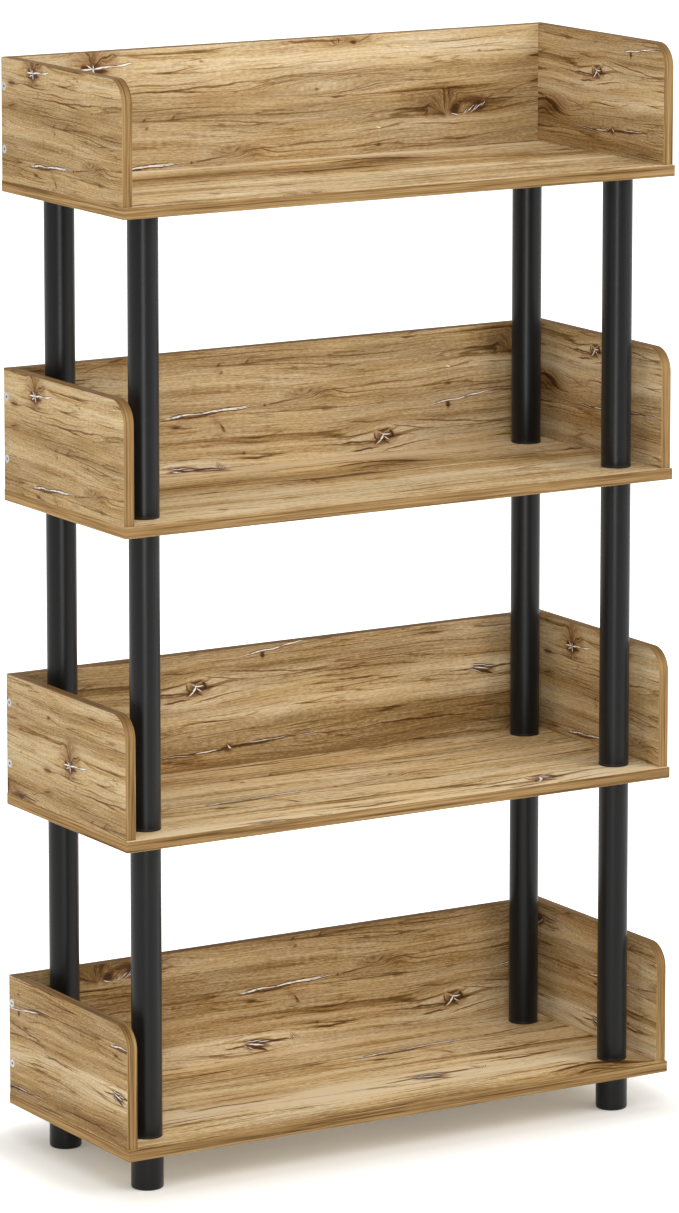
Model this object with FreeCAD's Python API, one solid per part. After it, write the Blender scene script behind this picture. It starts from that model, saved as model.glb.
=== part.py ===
"""Four-tier display shelf: laminated boards with low side and back panels, clamped on screw-together tubes.

Millimetres, +Z up, the front towards -Y. The origin is on the floor, under the middle of the boards.
Each tube carries a socket plug in its top end and a stud plug in its bottom end. A stud passes through
a hole in the board below and turns into the socket of the next tube, or of the foot, so that the board
is clamped between them.
"""

import FreeCAD
import Part

import math
import os

# Boards and panels
BOARD_WIDTH = 668.0
BOARD_DEPTH = 260.0
BOARD_THICKNESS = 12.0
SIDE_THICKNESS = 12.0
BACK_THICKNESS = 12.0
PANEL_HEIGHT = 128.5
SIDE_CORNER_RADIUS = 25.0
SIDE_INSET = 0.5
FRONT_SETBACK = 3.5
ARRIS = 0.6

# Tubes: one row of four under each board but the lowest
TIERS = 4
TUBE_DIAMETER = 32.0
TUBE_WALL = 2.0
TUBE_CUT_LENGTH = 308.0
TUBE_AXIS_FROM_END = 45.0
TUBE_AXIS_FROM_EDGE = 41.5

# Plugs pressed into the tube ends
COLLAR_HEIGHT = 3.0
COLLAR_ROUND = 0.8
BARREL_LENGTH = 24.0
BARREL_GAP = 1.0
BARREL_SHELL = 2.8
BARREL_FLOOR = 3.0
CRUSH_RIBS = 8
CRUSH_RIB_WIDTH = 1.6
CRUSH_RIB_PLAY = 0.05

# Studs and the sockets that take them
STUD_DIAMETER = 20.0
STUD_ENGAGEMENT = 14.0
STUD_LEAD = 1.5
STUD_CORE = 11.0
STUD_PLAY_IN_BOARD = 0.5
STUD_PLAY_IN_SOCKET = 0.1
SOCKET_SPARE_DEPTH = 2.0

# Barbed anchors that hold the top board
ANCHOR_HOLE_DEPTH = 9.0
ANCHOR_END_PLAY = 0.5
ANCHOR_BARBS = 3
ANCHOR_BARB_DEPTH = 0.8
ANCHOR_BARB_PLAY = 0.05

# Feet
FOOT_DIAMETER = 34.0
FOOT_HEIGHT = 43.0
FOOT_WALL = 2.4
FOOT_FLOOR = 3.0
FOOT_ROUND = 2.5
FOOT_BOSS_WALL = 2.2
FOOT_RIBS = 6
FOOT_RIB_WIDTH = 1.8
FOOT_RIB_DROP = 2.0

# Screws
SCREW_LENGTH = 38.0
SCREW_DIAMETER = 4.0
SCREW_HEAD_DIAMETER = 9.0
SCREW_HEAD_RIM = 0.5
SCREW_HEAD_CONE = 2.6
SCREW_TIP = 4.0
SCREW_SOCKET_FLATS = 3.0
SCREW_SOCKET_DEPTH = 2.0
SCREW_PLAY = 0.1
SCREW_HOLE_SPARE = 1.0

# Screw places
SIDE_SCREW_FROM_TOP = 30.0
SIDE_SCREW_FROM_BOARD = 33.0
BASE_SCREW_FROM_FRONT = 40.0
BASE_SCREW_FROM_BACK = 60.0
BACK_SCREWS = 3
BACK_SCREW_FROM_SIDE = 60.0

# How far a cutting tool runs past the face that it cuts
OVERRUN = 1.0

# Sizes that follow from those above
TUBE_RADIUS = TUBE_DIAMETER / 2
TUBE_BORE_RADIUS = TUBE_RADIUS - TUBE_WALL
TIER_GAP = TUBE_CUT_LENGTH + 2 * COLLAR_HEIGHT
TIER_PITCH = TIER_GAP + BOARD_THICKNESS
TUBE_X = BOARD_WIDTH / 2 - TUBE_AXIS_FROM_END
TUBE_Y = BOARD_DEPTH / 2 - TUBE_AXIS_FROM_EDGE
STUD_RADIUS = STUD_DIAMETER / 2
STUD_CORE_RADIUS = STUD_CORE / 2
BOARD_HOLE_RADIUS = STUD_RADIUS + STUD_PLAY_IN_BOARD
SOCKET_RADIUS = STUD_RADIUS + STUD_PLAY_IN_SOCKET
SOCKET_DEPTH = STUD_ENGAGEMENT + SOCKET_SPARE_DEPTH
BARREL_RADIUS = TUBE_BORE_RADIUS - BARREL_GAP
SIDE_OUTER_X = BOARD_WIDTH / 2 - SIDE_INSET
SIDE_INNER_X = SIDE_OUTER_X - SIDE_THICKNESS
SIDE_FRONT_Y = FRONT_SETBACK - BOARD_DEPTH / 2
BACK_Y = BOARD_DEPTH / 2
BACK_FRONT_Y = BACK_Y - BACK_THICKNESS

UP = FreeCAD.Vector(0, 0, 1)
DOWN = FreeCAD.Vector(0, 0, -1)
RIGHT = FreeCAD.Vector(1, 0, 0)
LEFT = FreeCAD.Vector(-1, 0, 0)
ORIGIN = FreeCAD.Vector(0, 0, 0)

CORNERS = {
    "front_left": (-TUBE_X, -TUBE_Y),
    "front_right": (TUBE_X, -TUBE_Y),
    "back_left": (-TUBE_X, TUBE_Y),
    "back_right": (TUBE_X, TUBE_Y),
}


def board_bottom(tier):
    """Height of the underside of a tier's board. Tier 0 is the lowest."""
    return FOOT_HEIGHT + tier * TIER_PITCH


def board_top(tier):
    """Height of the upper face of a tier's board."""
    return board_bottom(tier) + BOARD_THICKNESS


def block(low, high):
    """A box between two opposite corners, each an (x, y, z)."""
    size = FreeCAD.Vector(*high) - FreeCAD.Vector(*low)
    return Part.makeBox(size.x, size.y, size.z, FreeCAD.Vector(*low))


def turned(profile):
    """A solid of revolution about Z, from a closed outline of (radius, height) points."""
    points = [FreeCAD.Vector(radius, 0, height) for radius, height in profile]
    face = Part.Face(Part.makePolygon(points + points[:1]))
    return face.revolve(ORIGIN, UP, 360)


def pointing(shape, place, direction):
    """A copy of a shape that was made along +Z, moved to a place and turned to a direction."""
    copy = shape.copy()
    copy.Placement = FreeCAD.Placement(FreeCAD.Vector(*place), FreeCAD.Rotation(UP, direction))
    return copy


def fused(shapes):
    """One solid from several that touch or overlap."""
    return shapes[0].fuse(shapes[1:]).removeSplitter()


def edges_on_circle(shape, radius, height):
    """The round edges of a turned shape that have this radius and lie at this height."""
    found = []
    for edge in shape.Edges:
        curve = edge.Curve
        if isinstance(curve, Part.Circle) and edge.isClosed():
            same_radius = abs(curve.Radius - radius) < Part.Precision.confusion()
            same_height = abs(curve.Center.z - height) < Part.Precision.confusion()
            if same_radius and same_height:
                found.append(edge)
    return found


def spokes(count, width, inner, outer, low, high):
    """Radial ribs about Z, between two radii and two heights, trimmed round at their outer end."""
    bar = block((inner, -width / 2, low), (outer + OVERRUN, width / 2, high))
    sleeve = Part.makeCylinder(outer, high - low, FreeCAD.Vector(0, 0, low), UP)
    ribs = []
    for index in range(count):
        rib = bar.common(sleeve)
        rib.rotate(ORIGIN, UP, 360 * index / count)
        ribs.append(rib)
    return ribs


# Screws and their holes


def screw():
    """A countersunk screw, its head's flat face at the origin and its point along +Z."""
    head = SCREW_HEAD_DIAMETER / 2
    shank = SCREW_DIAMETER / 2
    body = turned([
        (0, 0),
        (head, 0),
        (head, SCREW_HEAD_RIM),
        (shank, SCREW_HEAD_RIM + SCREW_HEAD_CONE),
        (shank, SCREW_LENGTH - SCREW_TIP),
        (0, SCREW_LENGTH),
    ])
    corner = SCREW_SOCKET_FLATS / math.sqrt(3)
    corners = [
        FreeCAD.Vector(corner * math.cos(math.radians(60 * n)), corner * math.sin(math.radians(60 * n)), 0)
        for n in range(6)
    ]
    hexagon = Part.Face(Part.makePolygon(corners + corners[:1]))
    return body.cut(hexagon.extrude(UP * SCREW_SOCKET_DEPTH))


def screw_hole():
    """The hole for a screw: countersink, clearance and pilot, run out past the face at the origin."""
    head = SCREW_HEAD_DIAMETER / 2 + SCREW_PLAY
    shank = SCREW_DIAMETER / 2 + SCREW_PLAY
    return turned([
        (0, -OVERRUN),
        (head, -OVERRUN),
        (head, SCREW_HEAD_RIM),
        (shank, SCREW_HEAD_RIM + SCREW_HEAD_CONE),
        (shank, SCREW_LENGTH + SCREW_HOLE_SPARE),
        (0, SCREW_LENGTH + SCREW_HOLE_SPARE),
    ])


def side_screw_places(tier):
    """Where screws go through the side panels into the ends of the back panel, and which way."""
    middle = BACK_Y - BACK_THICKNESS / 2
    top = board_top(tier) + PANEL_HEIGHT
    heights = (board_top(tier) + SIDE_SCREW_FROM_BOARD, top - SIDE_SCREW_FROM_TOP)
    places = []
    for height in heights:
        places.append(((-SIDE_OUTER_X, middle, height), RIGHT))
        places.append(((SIDE_OUTER_X, middle, height), LEFT))
    return places


def base_screw_places(tier):
    """Where screws go up through the board into the side and back panels, and which way."""
    under = board_bottom(tier)
    side_x = SIDE_OUTER_X - SIDE_THICKNESS / 2
    back_y = BACK_Y - BACK_THICKNESS / 2
    span = SIDE_INNER_X - BACK_SCREW_FROM_SIDE
    places = []
    for x in (-side_x, side_x):
        places.append(((x, SIDE_FRONT_Y + BASE_SCREW_FROM_FRONT, under), UP))
        places.append(((x, BACK_Y - BASE_SCREW_FROM_BACK, under), UP))
    for index in range(BACK_SCREWS):
        share = 2 * index / (BACK_SCREWS - 1) - 1
        places.append(((share * span, back_y, under), UP))
    return places


def drilled(shape, places):
    """A board or panel with the holes for the screws that are put in at these places."""
    tool = screw_hole()
    return shape.cut([pointing(tool, place, direction) for place, direction in places])


# Boards and panels


def shelf_board(tier):
    """A tier's board with its stud holes. The top board's are blind, for the anchors."""
    low = board_bottom(tier)
    half_width = BOARD_WIDTH / 2
    half_depth = BOARD_DEPTH / 2
    board = block((-half_width, -half_depth, low), (half_width, half_depth, board_top(tier)))
    board = board.makeFillet(ARRIS, board.Edges)
    is_top = tier == TIERS - 1
    depth = ANCHOR_HOLE_DEPTH if is_top else BOARD_THICKNESS + OVERRUN
    holes = [
        Part.makeCylinder(BOARD_HOLE_RADIUS, depth + OVERRUN, FreeCAD.Vector(x, y, low - OVERRUN), UP)
        for x, y in CORNERS.values()
    ]
    return drilled(board.cut(holes), base_screw_places(tier))


def side_outline():
    """The side panel's outline in the YZ plane, with its rounded top front corner, from z = 0 up."""
    front = SIDE_FRONT_Y
    radius = SIDE_CORNER_RADIUS
    top = PANEL_HEIGHT
    bend = radius * (1 - math.sqrt(0.5))
    low_front = FreeCAD.Vector(0, front, 0)
    arc_low = FreeCAD.Vector(0, front, top - radius)
    arc_middle = FreeCAD.Vector(0, front + bend, top - bend)
    arc_high = FreeCAD.Vector(0, front + radius, top)
    top_back = FreeCAD.Vector(0, BACK_Y, top)
    low_back = FreeCAD.Vector(0, BACK_Y, 0)
    return Part.Wire([
        Part.makeLine(low_front, arc_low),
        Part.Arc(arc_low, arc_middle, arc_high).toShape(),
        Part.makeLine(arc_high, top_back),
        Part.makeLine(top_back, low_back),
        Part.makeLine(low_back, low_front),
    ])


def side_panel(tier, side):
    """A side panel, standing on its board. side is -1 for the left one and 1 for the right one."""
    low_x = min(side * SIDE_OUTER_X, side * SIDE_INNER_X)
    panel = Part.Face(side_outline()).extrude(RIGHT * SIDE_THICKNESS)
    shown = [
        edge
        for edge in panel.Edges
        if edge.BoundBox.ZMax > ARRIS and edge.BoundBox.XLength < SIDE_THICKNESS / 2
    ]
    panel = panel.makeFillet(ARRIS, shown)
    panel.translate(FreeCAD.Vector(low_x, 0, board_top(tier)))
    return drilled(panel, side_screw_places(tier) + base_screw_places(tier))


def back_panel(tier):
    """The back panel, between the side panels and flush with the back of the board."""
    low = board_top(tier)
    high = low + PANEL_HEIGHT
    panel = block((-SIDE_INNER_X, BACK_FRONT_Y, low), (SIDE_INNER_X, BACK_Y, high))
    top_edges = [
        edge
        for edge in panel.Edges
        if edge.BoundBox.ZMin > high - ARRIS and edge.BoundBox.YLength < BACK_THICKNESS / 2
    ]
    panel = panel.makeFillet(ARRIS, top_edges)
    return drilled(panel, side_screw_places(tier) + base_screw_places(tier))


# Tubes, plugs, anchors and feet


def tube():
    """A cut length of tube, standing on z = 0."""
    outer = Part.makeCylinder(TUBE_RADIUS, TUBE_CUT_LENGTH)
    return outer.cut(Part.makeCylinder(TUBE_BORE_RADIUS, TUBE_CUT_LENGTH))


def crush_ribs():
    """The ribs along a plug's barrel that grip the tube's bore, for a collar that starts at z = 0."""
    low = COLLAR_HEIGHT
    high = low + BARREL_LENGTH - BARREL_GAP
    inner = BARREL_RADIUS - BARREL_SHELL / 2
    outer = TUBE_BORE_RADIUS - CRUSH_RIB_PLAY
    return spokes(CRUSH_RIBS, CRUSH_RIB_WIDTH, inner, outer, low, high)


def stud_plug():
    """The plug in a tube's bottom end: barrel, collar and stud. The collar's seat is at z = 0."""
    end = -(BOARD_THICKNESS + STUD_ENGAGEMENT)
    top = COLLAR_HEIGHT + BARREL_LENGTH
    body = turned([
        (STUD_CORE_RADIUS, end),
        (STUD_RADIUS - STUD_LEAD, end),
        (STUD_RADIUS, end + STUD_LEAD),
        (STUD_RADIUS, 0),
        (TUBE_RADIUS, 0),
        (TUBE_RADIUS, COLLAR_HEIGHT),
        (BARREL_RADIUS, COLLAR_HEIGHT),
        (BARREL_RADIUS, top),
        (BARREL_RADIUS - BARREL_SHELL, top),
        (BARREL_RADIUS - BARREL_SHELL, BARREL_FLOOR),
        (STUD_CORE_RADIUS, BARREL_FLOOR),
    ])
    body = body.makeFillet(COLLAR_ROUND, edges_on_circle(body, TUBE_RADIUS, 0))
    return fused([body] + crush_ribs())


def socket_plug():
    """The plug in a tube's top end, upside down: its collar's seat is at z = 0 and the barrel above."""
    top = COLLAR_HEIGHT + BARREL_LENGTH
    body = turned([
        (SOCKET_RADIUS, 0),
        (TUBE_RADIUS, 0),
        (TUBE_RADIUS, COLLAR_HEIGHT),
        (BARREL_RADIUS, COLLAR_HEIGHT),
        (BARREL_RADIUS, top),
        (STUD_CORE_RADIUS, top),
        (STUD_CORE_RADIUS, SOCKET_DEPTH),
        (SOCKET_RADIUS, SOCKET_DEPTH),
    ])
    return fused([body] + crush_ribs())


def anchor():
    """A stud with a barbed boss for the top board's blind hole. The board's underside is at z = 0."""
    boss = ANCHOR_HOLE_DEPTH - ANCHOR_END_PLAY
    crest = BOARD_HOLE_RADIUS - ANCHOR_BARB_PLAY
    root = crest - ANCHOR_BARB_DEPTH
    pitch = boss / ANCHOR_BARBS
    profile = [
        (STUD_CORE_RADIUS, -STUD_ENGAGEMENT),
        (STUD_RADIUS - STUD_LEAD, -STUD_ENGAGEMENT),
        (STUD_RADIUS, STUD_LEAD - STUD_ENGAGEMENT),
        (STUD_RADIUS, 0),
    ]
    for index in range(ANCHOR_BARBS):
        profile.append((crest, index * pitch))
        profile.append((root, (index + 1) * pitch))
    profile.append((0, boss))
    profile.append((0, boss - BARREL_FLOOR))
    profile.append((STUD_CORE_RADIUS, boss - BARREL_FLOOR))
    return turned(profile)


def foot():
    """A moulded foot, standing on z = 0: outer cup, socket boss and the ribs between them."""
    outer = FOOT_DIAMETER / 2
    boss = SOCKET_RADIUS + FOOT_BOSS_WALL
    inner = outer - FOOT_WALL
    body = turned([
        (0, 0),
        (outer, 0),
        (outer, FOOT_HEIGHT),
        (inner, FOOT_HEIGHT),
        (inner, FOOT_FLOOR),
        (boss, FOOT_FLOOR),
        (boss, FOOT_HEIGHT),
        (SOCKET_RADIUS, FOOT_HEIGHT),
        (SOCKET_RADIUS, FOOT_FLOOR),
        (0, FOOT_FLOOR),
    ])
    body = body.makeFillet(FOOT_ROUND, edges_on_circle(body, outer, 0))
    start = SOCKET_RADIUS + FOOT_BOSS_WALL / 2
    end = inner + FOOT_WALL / 2
    ribs = spokes(FOOT_RIBS, FOOT_RIB_WIDTH, start, end, FOOT_FLOOR / 2, FOOT_HEIGHT - FOOT_RIB_DROP)
    return fused([body] + ribs)


def at_corners(shape, height, direction):
    """Copies of a shape at the four tube places, at one height."""
    return [pointing(shape, (x, y, height), direction) for x, y in CORNERS.values()]


def save(name, shapes):
    """Writes one named piece, or a group of identical ones, as a STEP file."""
    if len(shapes) > 1:
        shape = Part.makeCompound(shapes)
    else:
        shape = shapes[0]
    shape.exportStep(os.path.join("parts", name + ".step"))


def main():
    """Builds every piece where it stands and writes it."""
    os.makedirs("parts", exist_ok=True)
    fastener = screw()
    for tier in range(TIERS):
        number = tier + 1
        side_places = side_screw_places(tier)
        base_places = base_screw_places(tier)
        save(f"shelf_board_{number}", [shelf_board(tier)])
        save(f"left_panel_{number}", [side_panel(tier, -1)])
        save(f"right_panel_{number}", [side_panel(tier, 1)])
        save(f"back_panel_{number}", [back_panel(tier)])
        save(f"side_screws_{number}", [pointing(fastener, *place) for place in side_places])
        save(f"base_screws_{number}", [pointing(fastener, *place) for place in base_places])

    one_tube = tube()
    lower = stud_plug()
    upper = socket_plug()
    for tier in range(TIERS - 1):
        number = tier + 1
        seat = board_top(tier)
        for corner, (x, y) in CORNERS.items():
            save(f"tube_{corner}_{number}", [pointing(one_tube, (x, y, seat + COLLAR_HEIGHT), UP)])
        save(f"stud_plugs_{number}", at_corners(lower, seat, UP))
        save(f"socket_plugs_{number}", at_corners(upper, board_bottom(tier + 1), DOWN))

    one_foot = foot()
    for corner, (x, y) in CORNERS.items():
        save(f"foot_{corner}", [pointing(one_foot, (x, y, 0), UP)])
    save("top_anchors", at_corners(anchor(), board_bottom(TIERS - 1), UP))


main()
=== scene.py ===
"""Display shelf: oak-look boards and panels, satin black tubes, moulded feet and bright screws.

Metres, +Z up, the front towards -Y, in the frame of the CAD model. The printed oak of the boards is laid out
in millimetres on a sheet that repeats: s runs along the grain and t runs down across it. Each panel is cut
from the sheet at its own place.
"""

import logging
import math
from dataclasses import dataclass
from enum import Enum
from typing import Sequence, Union

import bmesh
import bpy
from mathutils import Euler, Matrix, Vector


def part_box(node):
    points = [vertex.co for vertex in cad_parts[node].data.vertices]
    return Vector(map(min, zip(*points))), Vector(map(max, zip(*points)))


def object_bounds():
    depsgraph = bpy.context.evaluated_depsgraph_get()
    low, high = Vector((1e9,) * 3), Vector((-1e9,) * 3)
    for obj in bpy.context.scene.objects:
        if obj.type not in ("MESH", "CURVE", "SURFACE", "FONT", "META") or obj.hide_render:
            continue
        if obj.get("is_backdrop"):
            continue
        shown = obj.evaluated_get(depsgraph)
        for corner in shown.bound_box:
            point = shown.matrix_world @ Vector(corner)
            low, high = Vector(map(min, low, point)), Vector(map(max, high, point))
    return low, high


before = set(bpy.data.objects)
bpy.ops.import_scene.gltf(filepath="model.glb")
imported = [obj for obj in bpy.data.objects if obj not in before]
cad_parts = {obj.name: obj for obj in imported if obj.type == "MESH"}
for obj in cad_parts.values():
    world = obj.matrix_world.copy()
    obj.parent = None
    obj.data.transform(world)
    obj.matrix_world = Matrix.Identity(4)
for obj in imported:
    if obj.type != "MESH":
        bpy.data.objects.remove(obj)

log = logging.getLogger("display_shelf")

Socket = bpy.types.NodeSocket
Value = Union[float, Sequence[float], Socket]
Colour = tuple[float, float, float]
Place = tuple[float, float, float]

WHITE: Colour = (1.0, 1.0, 1.0)
MILLIMETRE = 0.001
TIERS = 4
CORNERS = ("front_left", "front_right", "back_left", "back_right")


def srgb(red: int, green: int, blue: int) -> Colour:
    """A linear colour from the 0 to 255 values that a screen shows.

    Args:
        red, green, blue: The screen values.

    Returns:
        The colour as linear light.
    """
    def linear(screen: int) -> float:
        """One value by the sRGB curve."""
        share = screen / 255
        return share / 12.92 if share <= 0.04045 else ((share + 0.055) / 1.055) ** 2.4

    return linear(red), linear(green), linear(blue)


class Graph:
    """Adds nodes to one shader tree, each after those that it reads."""

    COLUMN = 170
    ROW = 220
    PER_ROW = 24

    def __init__(self, tree: bpy.types.NodeTree) -> None:
        """Starts on an empty tree."""
        self.tree = tree
        self.count = 0

    def node(self, kind: str, **settings: object) -> bpy.types.Node:
        """A new node.

        Args:
            kind: The node's Blender type, without its ShaderNode prefix.
            settings: Its properties.

        Returns:
            The node.
        """
        made = self.tree.nodes.new("ShaderNode" + kind)
        made.location = (self.count % self.PER_ROW * self.COLUMN, -(self.count // self.PER_ROW) * self.ROW)
        self.count += 1
        for name, setting in settings.items():
            setattr(made, name, setting)
        return made

    def feed(self, socket: Socket, value: Value) -> None:
        """Links a socket to another one, or sets its value."""
        if isinstance(value, bpy.types.NodeSocket):
            self.tree.links.new(value, socket)
        elif isinstance(value, (int, float)):
            socket.default_value = value
        elif socket.type == "RGBA":
            socket.default_value = (*value, 1.0)
        else:
            socket.default_value = value

    def fill(self, node: bpy.types.Node, values: dict[Union[int, str], Value]) -> bpy.types.Node:
        """Feeds a node's inputs by their names or numbers, and returns the node."""
        for key, value in values.items():
            self.feed(node.inputs[key], value)
        return node

    def math(self, operation: str, *values: Value, clamp: bool = False) -> Socket:
        """The result of a Math node."""
        made = self.node("Math", operation=operation, use_clamp=clamp)
        return self.fill(made, dict(enumerate(values))).outputs[0]

    def vector(self, operation: str, *values: Value) -> Socket:
        """The result of a Vector Math node, a vector unless the operation gives a number."""
        made = self.fill(self.node("VectorMath", operation=operation), dict(enumerate(values)))
        return made.outputs["Value" if operation in ("LENGTH", "DOT_PRODUCT") else "Vector"]

    def combine(self, x: Value, y: Value, z: Value = 0.0) -> Socket:
        """A vector from three numbers."""
        return self.fill(self.node("CombineXYZ"), {0: x, 1: y, 2: z}).outputs[0]

    def separate(self, vector: Value) -> tuple[Socket, Socket, Socket]:
        """The three numbers of a vector."""
        x, y, z = self.fill(self.node("SeparateXYZ"), {0: vector}).outputs
        return x, y, z

    def noise(self, vector: Value, detail: float = 2.0, roughness: float = 0.5, seed: float = 0.0) -> Socket:
        """Smooth noise between 0 and 1, one step wide where the vector changes by 1.

        Args:
            vector: Where to read it.
            detail: How many finer layers lie on the first.
            roughness: How strong each finer layer is.
            seed: Moves to another part of the noise.

        Returns:
            The noise value.
        """
        made = self.node("TexNoise", noise_dimensions="4D" if seed else "3D")
        values = {"Vector": vector, "Scale": 1.0, "Detail": detail, "Roughness": roughness}
        return self.fill(made, {**values, "W": seed} if seed else values).outputs["Fac"]

    def sway(self, noise: Value, weight: Value, base: Value) -> Socket:
        """Adds noise to a value, up or down by half the weight at most."""
        return self.math("MULTIPLY_ADD", self.math("SUBTRACT", noise, 0.5), weight, base)

    def rescale(self, value: Value, low: Value, high: Value, to_low: float = 0.0, to_high: float = 1.0,
                smooth: bool = True) -> Socket:
        """A value moved from one range to another and held at its ends.

        Args:
            value: The value.
            low, high: The range that it comes from.
            to_low, to_high: The range that it goes to.
            smooth: Whether it eases in and out.

        Returns:
            The value in its new range.
        """
        made = self.node("MapRange", interpolation_type="SMOOTHSTEP" if smooth else "LINEAR")
        values = {"Value": value, "From Min": low, "From Max": high, "To Min": to_low, "To Max": to_high}
        return self.fill(made, values).outputs[0]

    def ramp(self, value: Value, stops: Sequence[tuple[float, Colour]], ease: str = "LINEAR") -> Socket:
        """A colour looked up along a ramp.

        Args:
            value: The place on the ramp, 0 to 1.
            stops: Places and linear colours.
            ease: The ramp's interpolation.

        Returns:
            The colour.
        """
        made = self.node("ValToRGB")
        made.color_ramp.interpolation = ease
        elements = made.color_ramp.elements
        while len(elements) < len(stops):
            elements.new(0.5)
        for element, (place, colour) in zip(elements, stops):
            element.position = place
            element.color = (*colour, 1.0)
        self.feed(made.inputs[0], value)
        return made.outputs[0]

    def mix(self, share: Value, first: Value, second: Value, blend: str = "MIX") -> Socket:
        """Two colours mixed by a share."""
        made = self.node("Mix", data_type="RGBA", blend_type=blend)
        return self.fill(made, {0: share, 6: first, 7: second}).outputs[2]

    def group(self, tree: bpy.types.NodeTree, **values: Value) -> bpy.types.Node:
        """Places a node group and feeds its inputs, which are named with spaces for underscores."""
        made = self.node("Group", node_tree=tree)
        return self.fill(made, {name.replace("_", " "): value for name, value in values.items()})


class Kind(Enum):
    """What a group's socket carries."""

    NUMBER = "NodeSocketFloat"
    VECTOR = "NodeSocketVector"
    COLOUR = "NodeSocketColor"


class ShaderGroup:
    """A node group with named inputs and outputs, built once and placed in many materials."""

    name = "Group"
    inputs: dict[str, Kind] = {}
    outputs: dict[str, Kind] = {}

    def __init__(self) -> None:
        """Makes the group's sockets and fills it."""
        self.tree = bpy.data.node_groups.new(self.name, "ShaderNodeTree")
        for label, kind in self.inputs.items():
            self.tree.interface.new_socket(label, in_out="INPUT", socket_type=kind.value)
        for label, kind in self.outputs.items():
            self.tree.interface.new_socket(label, in_out="OUTPUT", socket_type=kind.value)
        self.graph = Graph(self.tree)
        start = self.tree.nodes.new("NodeGroupInput")
        results = self.build(self.graph, {label: start.outputs[label] for label in self.inputs})
        self.graph.fill(self.tree.nodes.new("NodeGroupOutput"), results)

    def build(self, graph: Graph, given: dict[str, Socket]) -> dict[str, Value]:
        """Fills the group.

        Args:
            graph: The group's tree.
            given: Its inputs by name.

        Returns:
            What each output carries.
        """
        raise NotImplementedError


def start_material(name: str) -> tuple[bpy.types.Material, Graph, bpy.types.Node, bpy.types.Node]:
    """A new material.

    Args:
        name: Its name.

    Returns:
        The material, its tree, its Principled node and its coordinates.
    """
    made = bpy.data.materials.new(name)
    made.use_nodes = True
    graph = Graph(made.node_tree)
    return made, graph, made.node_tree.nodes["Principled BSDF"], graph.node("TexCoord")


def emboss(graph: Graph, shader: bpy.types.Node, height: Socket, strength: float, distance: float) -> None:
    """Gives a surface its fine relief."""
    bump = graph.fill(graph.node("Bump"), {"Strength": strength, "Distance": distance, "Height": height})
    graph.feed(shader.inputs["Normal"], bump.outputs[0])


def directly_seen(graph: Graph) -> tuple[bpy.types.Node, Socket]:
    """The ray's node, and 1 where the camera, a reflection or a clear piece looks at the surface."""
    path = graph.node("LightPath")
    seen = graph.math("MAXIMUM", path.outputs["Is Camera Ray"], path.outputs["Is Glossy Ray"])
    return path, graph.math("MAXIMUM", seen, path.outputs["Is Transmission Ray"])


# The printed oak


# The size of the printed sheet before it repeats, in millimetres
SHEET_LENGTH = 615.0
SHEET_HEIGHT = 342.0

# What every mark reads: the place on the sheet, its middle, and its two directions divided by its reach
MARK = {"Sheet": Kind.VECTOR, "Middle": Kind.VECTOR, "Along": Kind.VECTOR, "Across": Kind.VECTOR}


class StrokeGroup(ShaderGroup):
    """A crack or dark line with tapering ends, and the light filler along its core."""

    name = "Oak stroke"
    inputs = {**MARK, "Bow": Kind.NUMBER, "Body": Kind.NUMBER, "Core Ratio": Kind.NUMBER}
    outputs = {"Dark": Kind.NUMBER, "Core": Kind.NUMBER}

    SHARPNESS = 2.3
    CORE_SHARPNESS = 2.2

    def build(self, graph: Graph, given: dict[str, Socket]) -> dict[str, Value]:
        """Along and Across reach 1 at the stroke's end and edge, and Body thins and thickens it."""
        away = graph.vector("SUBTRACT", given["Sheet"], given["Middle"])
        share = graph.vector("DOT_PRODUCT", away, given["Along"])
        offset = graph.vector("DOT_PRODUCT", away, given["Across"])
        square = graph.math("MULTIPLY", share, share)
        apart = graph.math("ABSOLUTE", graph.math("MULTIPLY_ADD", square, given["Bow"], offset))
        inside = graph.math("SUBTRACT", given["Body"], square)
        dark = graph.math("SUBTRACT", inside, apart)
        core = graph.math("SUBTRACT", inside, graph.math("MULTIPLY", apart, given["Core Ratio"]))
        return {
            "Dark": graph.math("MULTIPLY", dark, self.SHARPNESS, clamp=True),
            "Core": graph.math("MULTIPLY", core, self.CORE_SHARPNESS, clamp=True),
        }


class BlotchGroup(ShaderGroup):
    """A soft oval spot. Rim moves its edge in and out."""

    name = "Oak blotch"
    inputs = {**MARK, "Rim": Kind.NUMBER}
    outputs = {"Mask": Kind.NUMBER}

    def build(self, graph: Graph, given: dict[str, Socket]) -> dict[str, Value]:
        """Fades from the middle to the rim."""
        away = graph.vector("SUBTRACT", given["Sheet"], given["Middle"])
        along = graph.vector("DOT_PRODUCT", away, given["Along"])
        across = graph.vector("DOT_PRODUCT", away, given["Across"])
        square = graph.math("MULTIPLY_ADD", along, along, graph.math("MULTIPLY", across, across))
        return {"Mask": graph.rescale(square, given["Rim"], 0.0)}


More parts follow.
